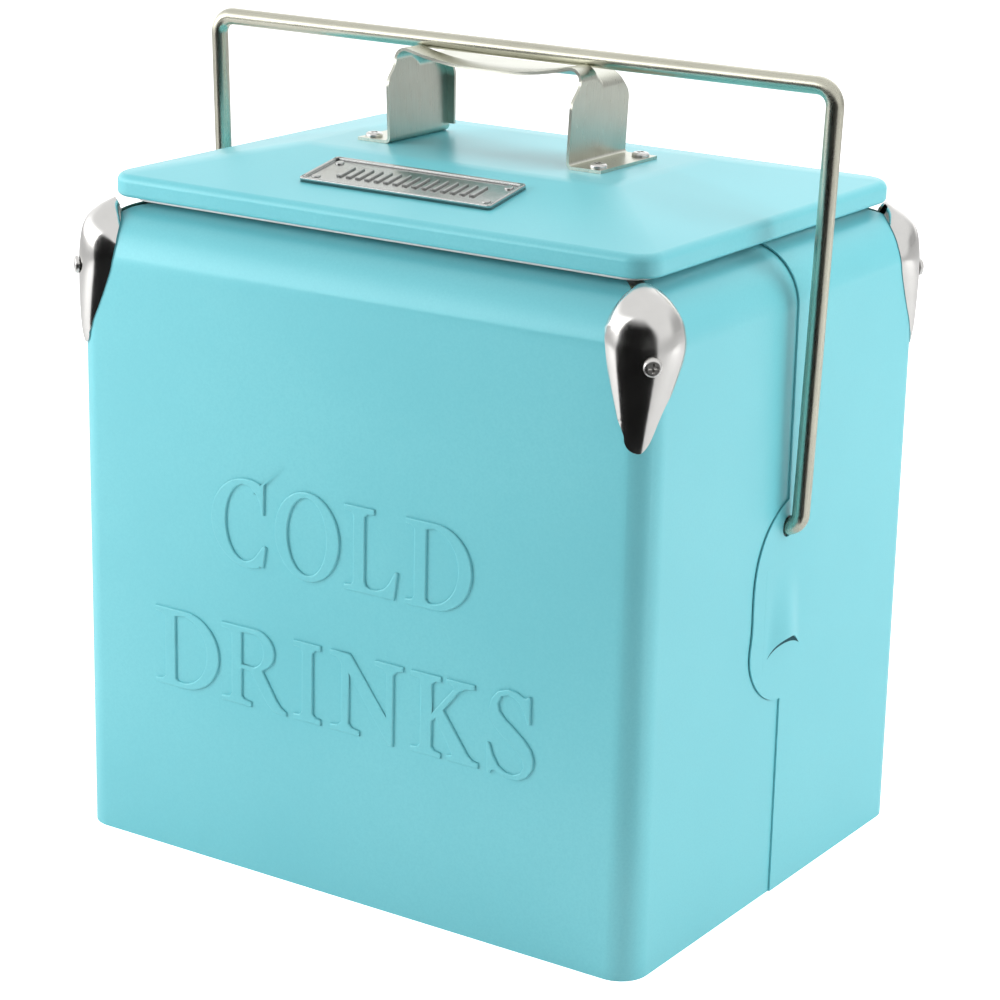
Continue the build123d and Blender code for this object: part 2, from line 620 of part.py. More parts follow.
lid_handle &= leg_outline(0)
edge_band = (leg_outline(0) - leg_outline(STRAP_T)) & half_space(STRAP_NECK * 0.5, FAR)
for side in (1, -1):
    window = Pos(side * (LEG_FOOT_X - FLANGE_IN / 2), 0, (LID_TOP + 4 + REST_TOP - 3) / 2) * Box(
        FLANGE_IN, 4 * STRAP_HALF, REST_TOP - LID_TOP - 7
    )
    lid_handle += edge_band & window
    for edge in (1, -1):
        lid_handle = drill(lid_handle, (side * SCREW_X, edge * SCREW_Y, LID_TOP), (0, 0, 1), SCREW_HOLE_R, 10)
save(lid_handle, "lid_handle")

screw_seat = LID_TOP + STRAP_T + 0.1
handle_screw_set = []
handle_nut_set = []
for side in (1, -1):
    for edge in (1, -1):
        handle_screw_set.append(Pos(side * SCREW_X, edge * SCREW_Y, screw_seat) * screw(8))
        handle_nut_set.append(Pos(side * SCREW_X, edge * SCREW_Y, LID_TOP - SHEET - 0.05) * nut())
save(Compound(children=handle_screw_set), "handle_screws")
save(Compound(children=handle_nut_set), "handle_nuts")

# ---------------------------------------------------------------- name plate
slope_angle = math.degrees(math.atan2(LID_TOP - SKIRT_TOP, LID_Y - FLAT_Y))
slope_z = SKIRT_TOP + (NAME_Y + LID_Y) * math.tan(math.radians(slope_angle))
slope_normal = Vector(0, -math.sin(math.radians(slope_angle)), math.cos(math.radians(slope_angle)))
slope = Plane(origin=Vector(0, NAME_Y, slope_z) + slope_normal * NAME_GAP, x_dir=(1, 0, 0), z_dir=slope_normal)
name_plate = extrude(slope * RectangleRounded(NAME_W, NAME_H, 1.5), NAME_RIM_T)
name_plate -= extrude(
    slope.offset(NAME_T) * RectangleRounded(NAME_W - 2 * NAME_RIM_W, NAME_H - 2 * NAME_RIM_W, 1.0), NAME_RIM_T
)
rivets = []
for sx in (1, -1):
    for sy in (1, -1):
        spot = slope * Pos(sx * NAME_RIVET_X, sy * NAME_RIVET_Y, 0)
        hole = slope * (Pos(sx * NAME_RIVET_X, sy * NAME_RIVET_Y, 0) * Cylinder(1.3, 12))
        name_plate -= hole
        lid_shell -= hole
        head = Pos(0, 0, NAME_T + 0.02) * Cylinder(2.2, 0.9, align=base_align)
        head = fillet(head.edges().group_by(Axis.Z)[-1], 0.6)
        stem = Cylinder(1.2, NAME_T + 3.5, align=(Align.CENTER, Align.CENTER, Align.MAX))
        rivet = head + Pos(0, 0, NAME_T + 0.1) * stem
        rivets.append(slope * (Pos(sx * NAME_RIVET_X, sy * NAME_RIVET_Y, 0) * rivet))
save(name_plate, "name_plate")
save(Compound(children=rivets), "plate_rivets")
save(lid_shell, "lid_shell")


# ---------------------------------------------------------------- bail
def bent_path(points, radii):
    """Straight runs joined by arcs, in X and Z."""
    runs = []
    start = Vector(*points[0])
    for i in range(1, len(points) - 1):
        here = Vector(*points[i])
        back = (Vector(*points[i - 1]) - here).normalized()
        ahead = (Vector(*points[i + 1]) - here).normalized()
        half_angle = math.radians(back.get_angle(ahead)) / 2
        reach = radii[i - 1] / math.tan(half_angle)
        centre_way = (back + ahead).normalized()
        arc_in = here + back * reach
        arc_out = here + ahead * reach
        centre = here + centre_way * (radii[i - 1] / math.sin(half_angle))
        arc_mid = centre - centre_way * radii[i - 1]
        runs.append(Line(start, arc_in))
        runs.append(ThreePointArc(arc_in, arc_mid, arc_out))
        start = arc_out
    runs.append(Line(start, Vector(*points[-1])))
    return Wire(runs)


bail_line = [
    (ROD_END_X, 0, PIVOT_Z), (LEG_X_LOW, 0, PIVOT_Z), (LEG_X_TOP, 0, BAIL_TOP),
    (-LEG_X_TOP, 0, BAIL_TOP), (-LEG_X_LOW, 0, PIVOT_Z), (-ROD_END_X, 0, PIVOT_Z),
]
bail_path = bent_path(bail_line, [BEND_LOW, BEND_TOP, BEND_TOP, BEND_LOW])
rod_section = Plane(origin=(ROD_END_X, 0, PIVOT_Z), z_dir=(1, 0, 0)) * Circle(ROD_R)
bail = sweep(rod_section, path=bail_path)
save(bail, "bail")
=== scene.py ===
import math

import bmesh
import bpy
from mathutils import Matrix, Vector


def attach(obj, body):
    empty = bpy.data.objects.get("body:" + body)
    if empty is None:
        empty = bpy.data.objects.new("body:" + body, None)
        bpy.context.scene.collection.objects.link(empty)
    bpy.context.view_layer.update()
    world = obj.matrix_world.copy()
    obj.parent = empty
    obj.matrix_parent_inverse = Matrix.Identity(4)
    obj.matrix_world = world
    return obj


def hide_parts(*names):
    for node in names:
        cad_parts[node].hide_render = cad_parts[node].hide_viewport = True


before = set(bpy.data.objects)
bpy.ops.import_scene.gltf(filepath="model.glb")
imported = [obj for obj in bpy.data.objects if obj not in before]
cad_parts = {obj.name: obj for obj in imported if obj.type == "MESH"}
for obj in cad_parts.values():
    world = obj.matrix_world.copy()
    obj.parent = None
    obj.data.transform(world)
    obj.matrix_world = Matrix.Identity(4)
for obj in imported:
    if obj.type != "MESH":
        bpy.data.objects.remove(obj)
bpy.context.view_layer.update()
scene = bpy.context.scene
MM = 0.001

# ------------------------------------------------------------ camera, floor and studio
# A white sweep in a white room, lit by three soft panels: one overhead, one
# at the left front and one at the right rear. Polished metal also sees a dark
# gap in front, between the left and right walls, and a matt black floor there.
CAMERA_AT = (0.7860, -1.1921, 0.6058)
CAMERA_AZIMUTH = math.radians(33.36)
CAMERA_ELEVATION = math.radians(16.95)
CAMERA_ROLL = math.radians(1.25)
LENS_MM = 106.45
SWEEP_HALF = 8
SWEEP_WHITE, SWEEP_IN_GLOSS = 0.9, 0.42
FLOOR_GLOW, FLOOR_SEEN = 0.30, 0.5

# brightness of the room: its walls, the glow on the left wall, and what it lights matt things with
WALL_BRIGHT, LEFT_EXTRA, BACKDROP_EXTRA, FAR_SIDE_LESS = 0.88, 2.6, 0.60, 0.40
ROOM_BRIGHT, ROOM_GAP = 0.52, 0.88
GAP_DARK = 0.004

# edges of the dark gap in degrees round from the front, how soft they are, and how it closes upwards
GAP_LEFT, GAP_LEFT_SOFT = -38.0, 1.5
GAP_RIGHT, GAP_RIGHT_SOFT = 68.0, 7.0
GAP_NARROWING = 75.0
GAP_CLOSING = (10, 34)
WALL_GLOW_ENDS = (8, 38)
LEFT_GLOW_SPAN = 90
DARK_FLOOR_NEAR, DARK_FLOOR_LONG, DARK_FLOOR_LIFT = 0.34, 8.0, 0.001

a, e, r = CAMERA_AZIMUTH, CAMERA_ELEVATION, CAMERA_ROLL
back = Vector((math.sin(a) * math.cos(e), -math.cos(a) * math.cos(e), math.sin(e)))
level = Vector((math.cos(a), math.sin(a), 0))
upward = back.cross(level)
right_way = level * math.cos(r) + upward * math.sin(r)
up_way = upward * math.cos(r) - level * math.sin(r)
lens = bpy.data.cameras.new("studio_camera")
lens.lens = LENS_MM
lens.sensor_width = 36
lens.clip_end = 20
camera = bpy.data.objects.new("studio_camera", lens)
turn = Matrix((right_way, up_way, back)).transposed().to_4x4()
camera.matrix_world = Matrix.Translation(CAMERA_AT) @ turn
scene.collection.objects.link(camera)
scene.camera = camera
scene.view_settings.view_transform = "Standard"
scene.view_settings.look = "None"


def plain_material(name, colour, roughness):
    """Material of one colour; returns it with its shader."""
    mat = bpy.data.materials.new(name)
    mat.use_nodes = True
    shader = mat.node_tree.nodes["Principled BSDF"]
    shader.inputs["Base Color"].default_value = (*colour, 1)
    shader.inputs["Roughness"].default_value = roughness
    return mat, shader


def made_object(name, b):
    """Turns a bmesh into a linked object of the same name."""
    mesh = bpy.data.meshes.new(name)
    b.to_mesh(mesh)
    b.free()
    obj = bpy.data.objects.new(name, mesh)
    scene.collection.objects.link(obj)
    return obj


def eased(b, edges, width, steps, clamped=False):
    """Rounds edges over."""
    bmesh.ops.bevel(
        b, geom=edges, offset=width, offset_type="OFFSET", affect="EDGES", segments=steps, profile=0.5,
        material=-1, clamp_overlap=clamped,
    )


def even_normals(obj):
    """Keeps flat faces flat next to eased edges."""
    weights = obj.modifiers.new("even_normals", "WEIGHTED_NORMAL")
    weights.weight = 60
    return weights


def white_sweep():
    """White floor that glows a little, more for the camera, and looks duller in polished metal."""
    mat, shader = plain_material("white_sweep", (SWEEP_WHITE,) * 3, 0.95)
    tree = mat.node_tree
    ray = tree.nodes.new("ShaderNodeLightPath")
    glow = tree.nodes.new("ShaderNodeMath")
    glow.operation = "MULTIPLY_ADD"
    glow.inputs[1].default_value = FLOOR_SEEN
    glow.inputs[2].default_value = FLOOR_GLOW
    dulled = tree.nodes.new("ShaderNodeMix")
    dulled.data_type = "RGBA"
    dulled.inputs[6].default_value = (SWEEP_WHITE, SWEEP_WHITE, SWEEP_WHITE, 1)
    dulled.inputs[7].default_value = (SWEEP_IN_GLOSS, SWEEP_IN_GLOSS, SWEEP_IN_GLOSS, 1)
    tree.links.new(ray.outputs["Is Camera Ray"], glow.inputs[0])
    tree.links.new(ray.outputs["Is Glossy Ray"], dulled.inputs[0])
    tree.links.new(dulled.outputs[2], shader.inputs["Base Color"])
    tree.links.new(glow.outputs[0], shader.inputs["Emission Strength"])
    shader.inputs["Emission Color"].default_value = (1, 1, 1, 1)
    return mat


b = bmesh.new()
bmesh.ops.create_grid(b, x_segments=1, y_segments=1, size=SWEEP_HALF)
floor = made_object("floor", b)
floor.data.materials.append(white_sweep())


def studio_world():
    """Even white room for soft light; in reflections it has bright walls and a dark gap in front."""
    world = bpy.data.worlds.new("white_studio")
    world.use_nodes = True
    tree = world.node_tree
    shader = tree.nodes["Background"]

    def sum_up(operation, first, second=0.0):
        node = tree.nodes.new("ShaderNodeMath")
        node.operation = operation
        for socket, value in enumerate((first, second)):
            if hasattr(value, "links"):
                tree.links.new(value, node.inputs[socket])
            else:
                node.inputs[socket].default_value = value
        return node.outputs[0]

    def times(first, second):
        return sum_up("MULTIPLY", first, second)

    def ramp(value, low, high, at_low, at_high):
        node = tree.nodes.new("ShaderNodeMapRange")
        node.interpolation_type = "SMOOTHSTEP"
        tree.links.new(value, node.inputs[0])
        for socket, number in enumerate((low, high, at_low, at_high), start=1):
            node.inputs[socket].default_value = number
        return node.outputs[0]

    def fades_upward(degrees):
        low, high = (math.sin(math.radians(d)) for d in degrees)
        return ramp(up, low, high, 1.0, 0.0)

    split = tree.nodes.new("ShaderNodeSeparateXYZ")
    tree.links.new(tree.nodes.new("ShaderNodeTexCoord").outputs["Generated"], split.inputs[0])
    east, north, up = split.outputs
    round_about = sum_up("DEGREES", sum_up("ARCTAN2", east, times(north, -1.0)))

    # the dark gap, narrower higher up
    narrowing = times(sum_up("MAXIMUM", up, 0.0), GAP_NARROWING)
    from_left = sum_up("SUBTRACT", round_about, narrowing)
    from_right = sum_up("ADD", round_about, narrowing)
    past_left = ramp(from_left, GAP_LEFT - GAP_LEFT_SOFT, GAP_LEFT + GAP_LEFT_SOFT, 0.0, 1.0)
    before_right = ramp(from_right, GAP_RIGHT - GAP_RIGHT_SOFT, GAP_RIGHT + GAP_RIGHT_SOFT, 1.0, 0.0)
    gap = times(times(past_left, before_right), fades_upward(GAP_CLOSING))

    # the walls: brighter at the left and behind, duller at the far right
    left_wall = ramp(round_about, GAP_LEFT - LEFT_GLOW_SPAN, GAP_LEFT, 0.0, 1.0)
    left_glow = times(left_wall, sum_up("SUBTRACT", 1.0, past_left))
    low_down = fades_upward(WALL_GLOW_ENDS)
    behind = times(ramp(north, 0.35, 0.9, 0.0, 1.0), ramp(east, -0.2, 0.35, 1.0, 0.0))
    far_side = times(ramp(east, 0.05, 0.4, 0.0, 1.0), ramp(north, 0.25, 0.6, 0.0, 1.0))
    walls = sum_up("ADD", WALL_BRIGHT, times(times(left_glow, low_down), LEFT_EXTRA))
    walls = sum_up("ADD", walls, times(behind, BACKDROP_EXTRA))
    walls = sum_up("SUBTRACT", walls, times(times(far_side, low_down), FAR_SIDE_LESS))
    mirrored = sum_up("ADD", times(walls, sum_up("SUBTRACT", 1.0, gap)), times(gap, GAP_DARK))

    # glossy rays see the walls and the gap, all others an even room
    ray = tree.nodes.new("ShaderNodeLightPath")
    in_gloss = ray.outputs["Is Glossy Ray"]
    even = sum_up("SUBTRACT", ROOM_BRIGHT, times(gap, ROOM_BRIGHT * ROOM_GAP))
    even = sum_up("ADD", even, ray.outputs["Is Camera Ray"])
    total = sum_up("ADD", times(mirrored, in_gloss), times(sum_up("SUBTRACT", 1.0, in_gloss), even))
    tree.links.new(total, shader.inputs["Strength"])
    shader.inputs["Color"].default_value = (1, 1, 1, 1)
    return world


scene.world = studio_world()


def soft_panel(name, at, aim, wide, high, watts):
    light = bpy.data.lights.new(name, "AREA")
    light.shape = "RECTANGLE"
    light.size = wide
    light.size_y = high
    light.energy = watts
    lamp = bpy.data.objects.new(name, light)
    lamp.location = at
    lamp.rotation_euler = (Vector(aim) - Vector(at)).to_track_quat("-Z", "Y").to_euler()
    lamp.visible_glossy = False
    scene.collection.objects.link(lamp)


soft_panel("overhead_panel", (0.0, 0.5, 1.9), (0, 0, 0.25), 1.5, 1.5, 21)
soft_panel("left_panel", (-0.95, -0.85, 0.62), (-0.1, 0, 0.2), 0.6, 0.9, 14)
soft_panel("right_panel", (1.35, 0.85, 0.7), (0, 0, 0.2), 0.8, 1.3, 18)

# matt black floor in front, a fan as wide as the dark gap, seen only by polished metal
b = bmesh.new()
bmesh.ops.create_grid(b, x_segments=12, y_segments=2, size=0.5)
for v in b.verts:
    spread = math.radians(GAP_LEFT + (GAP_RIGHT - GAP_LEFT) * (v.co.x + 0.5))
    reach = DARK_FLOOR_NEAR + DARK_FLOOR_LONG * (v.co.y + 0.5)
    v.co = (reach * math.sin(spread), -reach * math.cos(spread), DARK_FLOOR_LIFT)
dark_floor = made_object("dark_floor", b)
black_card, card_shader = plain_material("black_card", (0.006, 0.006, 0.006), 1.0)
card_shader.inputs["Specular IOR Level"].default_value = 0.0
dark_floor.data.materials.append(black_card)
dark_floor.visible_camera = False
dark_floor.visible_diffuse = False
dark_floor.visible_shadow = False

# ------------------------------------------------------------ powder-coated shells
# The body is two bent sheets of thin steel, front and rear, baked with a
# satin light turquoise powder. The rear sheet laps over the front one at
# both ends, and its rounded tabs hold the bail's ends.
COAT = (0.150, 0.505, 0.560)
COAT_DEEP = (0.128, 0.470, 0.530)


def node_maker(mat):
    """Short way to add nodes and links to one material."""
    tree = mat.node_tree

    def add(kind, links=(), **values):
        node = tree.nodes.new(kind)
        for key, value in values.items():
            setattr(node, key, value)
        for socket, source in dict(links).items():
            if hasattr(source, "links"):
                tree.links.new(source, node.inputs[socket])
            else:
                node.inputs[socket].default_value = source
        return node

    return add, tree.nodes["Principled BSDF"], tree


def new_finish(name):
    """Empty material with its node maker, its shader and the place on the object."""
    mat = bpy.data.materials.new(name)
    mat.use_nodes = True
    add, shader, _ = node_maker(mat)
    return mat, add, shader, add("ShaderNodeTexCoord").outputs["Object"]


def mottled(mat, value, span, dark, light):
    """Base colour going from dark to light as the value runs over its span."""
    add, shader, tree = node_maker(mat)
    tint = add("ShaderNodeMapRange", {0: value, 1: span[0], 2: span[1], 3: 0.0, 4: 1.0})
    colour = add("ShaderNodeMix", {0: tint.outputs[0]}, data_type="RGBA")
    colour.inputs[6].default_value = (*dark, 1)
    colour.inputs[7].default_value = (*light, 1)
    tree.links.new(colour.outputs[2], shader.inputs["Base Color"])


def roughened(mat, value, span, smooth, coarse):
    """Roughness going from smooth to coarse as the value runs over its span."""
    add, shader, tree = node_maker(mat)
    rough = add("ShaderNodeMapRange", {0: value, 1: span[0], 2: span[1], 3: smooth, 4: coarse})
    tree.links.new(rough.outputs[0], shader.inputs["Roughness"])


def textured(mat, value, strength, depth):
    """Fine relief; its depth is in metres."""
    add, shader, tree = node_maker(mat)
    bump = add("ShaderNodeBump", {"Height": value, "Strength": strength, "Distance": depth})
    tree.links.new(bump.outputs[0], shader.inputs["Normal"])


def powder_coat():
    mat, add, shader, place = new_finish("turquoise_powder_coat")
    cloudy = add("ShaderNodeTexNoise", {"Vector": place, "Scale": 9.0, "Detail": 2.0, "Roughness": 0.5})
    speck = add("ShaderNodeTexNoise", {"Vector": place, "Scale": 950.0, "Detail": 1.5, "Roughness": 0.6})
    both = add("ShaderNodeMath", {0: cloudy.outputs[0], 1: speck.outputs[0]}, operation="MULTIPLY")
    mottled(mat, both.outputs[0], (0.12, 0.42), COAT_DEEP, COAT)
    roughened(mat, speck.outputs[0], (0.3, 0.7), 0.30, 0.35)
    peel = add("ShaderNodeTexNoise", {"Vector": place, "Scale": 420.0, "Detail": 2.0, "Roughness": 0.55})
    textured(mat, peel.outputs[0], 0.10, 0.0002)
    shader.inputs["Specular IOR Level"].default_value = 0.75
    return mat


coat = powder_coat()


def finished(obj, mat, body, slot_name, *nodes):
    """Gives a piece its finish and puts it on its body."""
    obj.data.materials.clear()
    obj.data.materials.append(mat)
    if obj.name not in scene.collection.objects:
        scene.collection.objects.link(obj)
    if nodes:
        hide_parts(*nodes)
    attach(obj, body)
    return obj


def smooth_copy(node, name, sharp_deg=32):
    """A copy of a CAD node with its seams merged, its round faces smooth and its creases sharp."""
    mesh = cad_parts[node].data.copy()
    mesh.name = name
    b = bmesh.new()
    b.from_mesh(mesh)
    bmesh.ops.remove_doubles(b, verts=b.verts, dist=0.000002)
    bmesh.ops.dissolve_degenerate(b, edges=b.edges, dist=0.0000005)
    for face in b.faces:
        face.smooth = True
    for edge in b.edges:
        if len(edge.link_faces) == 2:
            edge.smooth = edge.calc_face_angle(0) < math.radians(sharp_deg)
    b.to_mesh(mesh)
    b.free()
    obj = bpy.data.objects.new(name, mesh)
    scene.collection.objects.link(obj)
    even_normals(obj).keep_sharp = True
    return obj


HOOD_FROM = 165.1      # what stands out further than this is drawn afresh as the opener hood

front_sheet = smooth_copy("front_shell", "front_shell_sheet")
rear_sheet = smooth_copy("rear_shell", "rear_shell_sheet")
b = bmesh.new()
b.from_mesh(rear_sheet.data)
pressed_out = [f for f in b.faces if any(v.co.x > HOOD_FROM * MM for v in f.verts)]
bmesh.ops.delete(b, geom=pressed_out, context="FACES")
b.to_mesh(rear_sheet.data)
b.free()
finished(front_sheet, coat, "chest", "paint", "front_shell")
finished(rear_sheet, coat, "chest", "paint", "rear_shell")

# ------------------------------------------------------------ opener hood
# The bottle opener is drawn out of the rear sheet itself: a soft swelling in
# the right-hand end, cut off below to an arched lip. The open slit under the
# lip takes the edge of a cap; the dark inside it is painted shade, a dark
# crescent laid just over the flat sheet.
WALL_X = 165.0
HOOD_MIDDLE, HOOD_TOP, HOOD_REACH = 0.8, 171.0, 19.8
ARCH_HIGH, ARCH_ROUND = 112.3, 20.7
LIP_OUT, FULL_BELOW = 3.3, 3.0      # the swelling is at its full this far below the top of the arch
SWELL_NARROW, SWELL_SPREAD = 13.0, 4.0
HOOD_WALL = 0.8
PROUD, SLIT_SHADE_PROUD = 0.03, 0.05      # how far each lies over the flat sheet
# the painted shade under the lip: how far it reaches to each side, how deep it hangs below the lip, and how
# far it laps up under it
SLIT_SHADE_REACH, SLIT_SHADE_DEEP, SLIT_SHADE_LAP = 16.0, 3.9, 0.4


def arch(across):
    """Height of the lip's lower edge."""
    return ARCH_HIGH + math.sqrt(ARCH_ROUND**2 - across**2)


def opener_hood():
    b = bmesh.new()
    bmesh.ops.create_grid(b, x_segments=72, y_segments=64, size=0.5)
    for v in b.verts:
        across = 2 * v.co.x * HOOD_REACH
        lip = arch(across)
        height = lip + (HOOD_TOP - lip) * (v.co.y + 0.5)
        rise = (HOOD_TOP - height) / (HOOD_TOP - ARCH_HIGH - ARCH_ROUND + FULL_BELOW)
        rise = min(max(rise, 0.0), 1.0)
        half = SWELL_NARROW + SWELL_SPREAD * rise
        profile = math.cos(math.pi / 2 * min(abs(across) / half, 1.0)) ** 2
        out = LIP_OUT * (rise * rise * (3 - 2 * rise)) * profile
        v.co = ((WALL_X + PROUD + out) * MM, (HOOD_MIDDLE + across) * MM, height * MM)
    bmesh.ops.recalc_face_normals(b, faces=b.faces)
    if b.faces[:][0].normal.x < 0:
        bmesh.ops.reverse_faces(b, faces=b.faces)
    for face in b.faces:
        face.smooth = True
    obj = made_object("opener_hood", b)
    wall = obj.modifiers.new("sheet_steel", "SOLIDIFY")
    wall.thickness = HOOD_WALL * MM
    wall.offset = -1
    crisp = obj.modifiers.new("crisp_rim", "EDGE_SPLIT")
    crisp.split_angle = math.radians(50)
    return obj


finished(opener_hood(), coat, "chest", "paint")


def opener_slit_painted_shade():
    """Painted shade of the open gap under the lip: a dark crescent laid just over the flat sheet."""
    b = bmesh.new()
    bmesh.ops.create_grid(b, x_segments=60, y_segments=4, size=0.5)
    for v in b.verts:
        across = 2 * v.co.x * SLIT_SHADE_REACH
        lip = arch(across)
        deep = SLIT_SHADE_DEEP * math.cos(math.pi / 2 * min(abs(across) / SLIT_SHADE_REACH, 1.0)) ** 0.8
        height = lip + SLIT_SHADE_LAP - (deep + SLIT_SHADE_LAP) * (0.5 - v.co.y)
        v.co = ((WALL_X + SLIT_SHADE_PROUD) * MM, (HOOD_MIDDLE + across) * MM, height * MM)
    obj = made_object("opener_slit_painted_shade", b)
    return obj


# painted shade: a near-black teal sheet stands for the unlit inside of the slit
painted_gap_shade, _ = plain_material("painted_gap_shade", (0.012, 0.06, 0.075), 0.9)
finished(opener_slit_painted_shade(), painted_gap_shade, "chest", "paint")

# ------------------------------------------------------------ pressed words
# Two words in plain Roman capitals are pressed outwards in the front sheet,
# under a millimetre high, with soft rolled edges.
FACE_Y = -131.0
PRESS_HIGH, PRESS_SINK, PRESS_KEPT = 0.75, 0.35, 0.45
SERIF, BRACKET = 2.6, 1.6


def ring(cx, cz, rx, rz, start=90, end=450, steps=40):
    """Points round an ellipse, angles in degrees."""
    pts = []
    for i in range(steps + 1):
        t = math.radians(start + (end - start) * i / steps)
        pts.append((cx + rx * math.cos(t), cz + rz * math.sin(t)))
    return pts


def stem(left, right, low, high, foot_l, foot_r, top_l, top_r):
    """Upright with a slab serif at each end, the serifs joined to it by small brackets."""
    s, k = SERIF, BRACKET
    return [
        (foot_l, low), (foot_r, low), (foot_r, low + s), (right + k, low + s + 0.3),
        (right, low + s + k + 0.6), (right, high - s - k - 0.6), (right + k, high - s - 0.3),
        (top_r, high - s), (top_r, high), (top_l, high), (top_l, high - s), (left - k, high - s - 0.3),
        (left, high - s - k - 0.6), (left, low + s + k + 0.6), (left - k, low + s + 0.3), (foot_l, low + s),
    ]


def letter_outlines():
    """Outer and inner outlines of every letter, in X and Z."""
    words = {}
    # upper word, between heights 158.6 and 201.4
    low, high = 159.2, 200.9
    words["upper_c"] = [
        [(-46.2, 202.0), (-46.6, 186.0), (-47.9, 186.0)]
        + ring(-58.2, 180.0, 11.6, 19.4, 32, 180, 22)
        + ring(-58.2, 180.0, 11.6, 19.0, 180, 303, 20)[1:]
        + [(-46.9, 170.4), (-45.2, 170.0), (-47.0, 159.6), (-49.0, 160.0)]
        + ring(-56.6, 180.0, 21.8, 22.1, 288, 180, 22)
        + ring(-56.6, 180.0, 21.8, 22.3, 180, 66, 22)[1:]
        + [(-48.6, 199.6)]
    ]
    words["upper_o"] = [ring(-20.9, 180.2, 19.0, 22.0), ring(-20.9, 180.2, 11.7, 19.3)]
    words["upper_l"] = [[
        (1.2, low), (29.9, low), (32.0, 172.6), (30.3, 172.6), (27.5, 167.2), (24.4, 163.6), (20.4, 161.9),
        (16.2, 161.7), (13.7, 162.8), (12.9, 165.4), (12.9, 196.4), (14.4, 198.0), (18.1, 198.5),
        (18.1, high), (1.2, high), (1.2, 198.5), (4.9, 198.0), (6.4, 196.4), (6.4, 163.6), (4.9, 162.0),
        (1.2, 161.6),
    ]]
    words["upper_d"] = [
        [(36.3, high), (36.3, 198.5), (39.9, 198.0), (41.3, 196.4), (41.3, 163.6), (39.9, 162.0),
         (36.3, 161.6), (36.3, low), (50.5, low)]
        + ring(52.6, 180.1, 20.8, 20.8, -84, 84, 30),
        [(47.9, 197.2)] + ring(50.4, 180.1, 15.6, 18.4, 84, -84, 26) + [(49.4, 161.8), (47.9, 163.4)],
    ]
    # lower word, between heights 86.6 and 127.4
    low, high = 87.0, 127.2
    words["lower_d"] = [
        [(-114.4, high), (-114.4, 124.8), (-110.4, 124.3), (-108.2, 122.7), (-108.2, 91.4), (-110.4, 89.8),
         (-114.4, 89.3), (-114.4, low), (-99.0, low)]
        + ring(-96.0, 107.1, 21.4, 20.1, -84, 84, 30),
        [(-101.9, 123.6)] + ring(-98.0, 107.1, 16.0, 17.6, 84, -84, 26) + [(-100.4, 89.8), (-101.9, 91.2)],
    ]
    words["lower_r"] = [
        [(-72.6, high), (-72.6, 124.8), (-68.2, 124.3), (-66.4, 122.7), (-66.4, 91.4), (-68.2, 89.8),
         (-72.6, 89.3), (-72.6, low), (-54.6, low), (-54.6, 89.3), (-58.8, 89.8), (-60.4, 91.4),
         (-60.4, 105.6), (-55.0, 105.4), (-44.6, 90.6), (-40.6, 87.5), (-33.2, 86.9), (-33.2, 88.7),
         (-36.4, 90.4), (-39.2, 93.6), (-47.6, 106.9)]
        + ring(-52.0, 117.0, 11.6, 10.2, -58, 84, 22),
        [(-60.4, 124.2)] + ring(-54.4, 116.2, 7.4, 8.7, 84, -84, 20) + [(-60.4, 107.9)],
    ]
    words["lower_i"] = [stem(-23.5, -17.3, low, high, -28.8, -12.6, -28.8, -12.6)]
    words["lower_n"] = [[
        (-6.6, high), (-6.6, 125.0), (-3.0, 124.4), (-0.1, 121.8), (-0.1, 92.0), (-2.2, 90.0), (-6.6, 89.4),
        (-6.6, low), (10.4, low), (10.4, 89.4), (6.2, 90.0), (4.2, 92.0), (4.2, 117.6), (27.6, 86.4),
        (30.2, 86.4), (30.2, 122.0), (32.0, 124.2), (35.6, 125.0), (35.6, high), (19.6, high),
        (19.6, 125.0), (24.0, 124.2), (26.2, 122.0), (26.2, 99.4), (5.0, high),
    ]]
    words["lower_k"] = [[
        (40.4, high), (40.4, 124.8), (44.2, 124.3), (45.9, 122.6), (45.9, 91.6), (44.2, 89.9), (40.4, 89.4),
        (40.4, low), (57.4, low), (57.4, 89.4), (53.8, 89.9), (52.3, 91.6), (52.3, 104.4), (54.4, 106.7),
        (63.4, 92.0), (63.9, 90.2), (60.9, 89.4), (60.9, low), (78.6, low), (78.6, 89.4), (75.4, 89.9),
        (72.8, 92.0), (58.9, 111.2), (67.4, 122.2), (71.4, 124.5), (76.0, 125.0), (76.0, high),
        (60.6, high), (60.6, 125.0), (64.2, 124.4), (64.4, 122.6), (52.3, 108.2), (52.3, 122.6),
        (53.9, 124.3), (57.2, 124.8), (57.2, high),
    ]]
    words["lower_s"] = [[
        (105.6, 128.2), (107.0, 128.2), (107.0, 115.2), (105.4, 115.2), (103.6, 120.2), (101.0, 124.0),
        (97.6, 126.4), (94.2, 127.0), (90.8, 125.4), (89.2, 121.8), (90.0, 118.2), (93.4, 114.6),
        (98.6, 111.0), (103.8, 107.0), (107.6, 102.8), (109.2, 98.2), (108.6, 93.4), (105.6, 89.0),
        (100.8, 86.5), (95.4, 86.2), (91.4, 87.2), (87.8, 88.8), (86.2, 88.2), (85.4, 86.6), (83.9, 86.6),
        (83.4, 101.2), (84.9, 101.2), (86.8, 95.8), (89.8, 91.2), (93.8, 88.8), (98.0, 88.3), (101.8, 89.9),
        (103.9, 93.2), (103.2, 97.2), (99.6, 101.0), (94.0, 104.8), (88.6, 108.8), (85.2, 113.2),
        (84.3, 118.2), (85.6, 123.2), (89.0, 127.4), (94.4, 129.6), (99.4, 129.0), (103.0, 127.4),
        (104.6, 127.2),
    ]]
    return words


